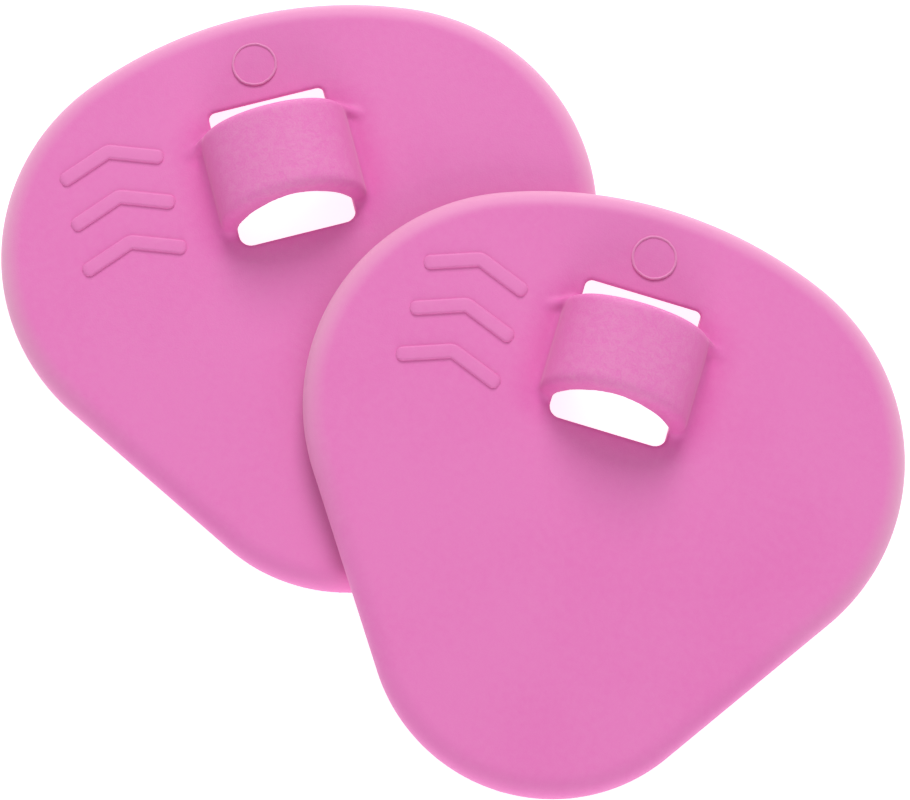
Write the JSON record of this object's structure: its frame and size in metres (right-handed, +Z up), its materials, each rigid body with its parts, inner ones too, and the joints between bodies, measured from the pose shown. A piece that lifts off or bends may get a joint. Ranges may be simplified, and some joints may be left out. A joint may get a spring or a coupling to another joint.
{
  "type": "saliva ejector shield pair",
  "caption": "Soft rounded-triangle shields with a window bridged by an arched strap that slides onto a saliva ejector tube, one leaning on the other.",
  "frame": {"origin": "middle of the pair's footprint, on the surface they lie on", "axes": "+X along the pair's longest side, from the flat rear shield to the leaning front shield; +Y towards the wide ends; +Z up"},
  "size_m": [0.0626, 0.057, 0.008],
  "materials": {
    "shield_silicone": "satin moulded silicone with a fine mould grain"
  },
  "bodies": {
    "rear_shield": {"rear_shield": "shield_silicone"},
    "front_shield": {"front_shield": "shield_silicone"}
  },
  "joints": [
    {"name": "front_lift", "type": "slide", "parent": "rear_shield", "child": "front_shield", "axis": [0, 0, 1], "range_m": [0, 0.03]}
  ]
}
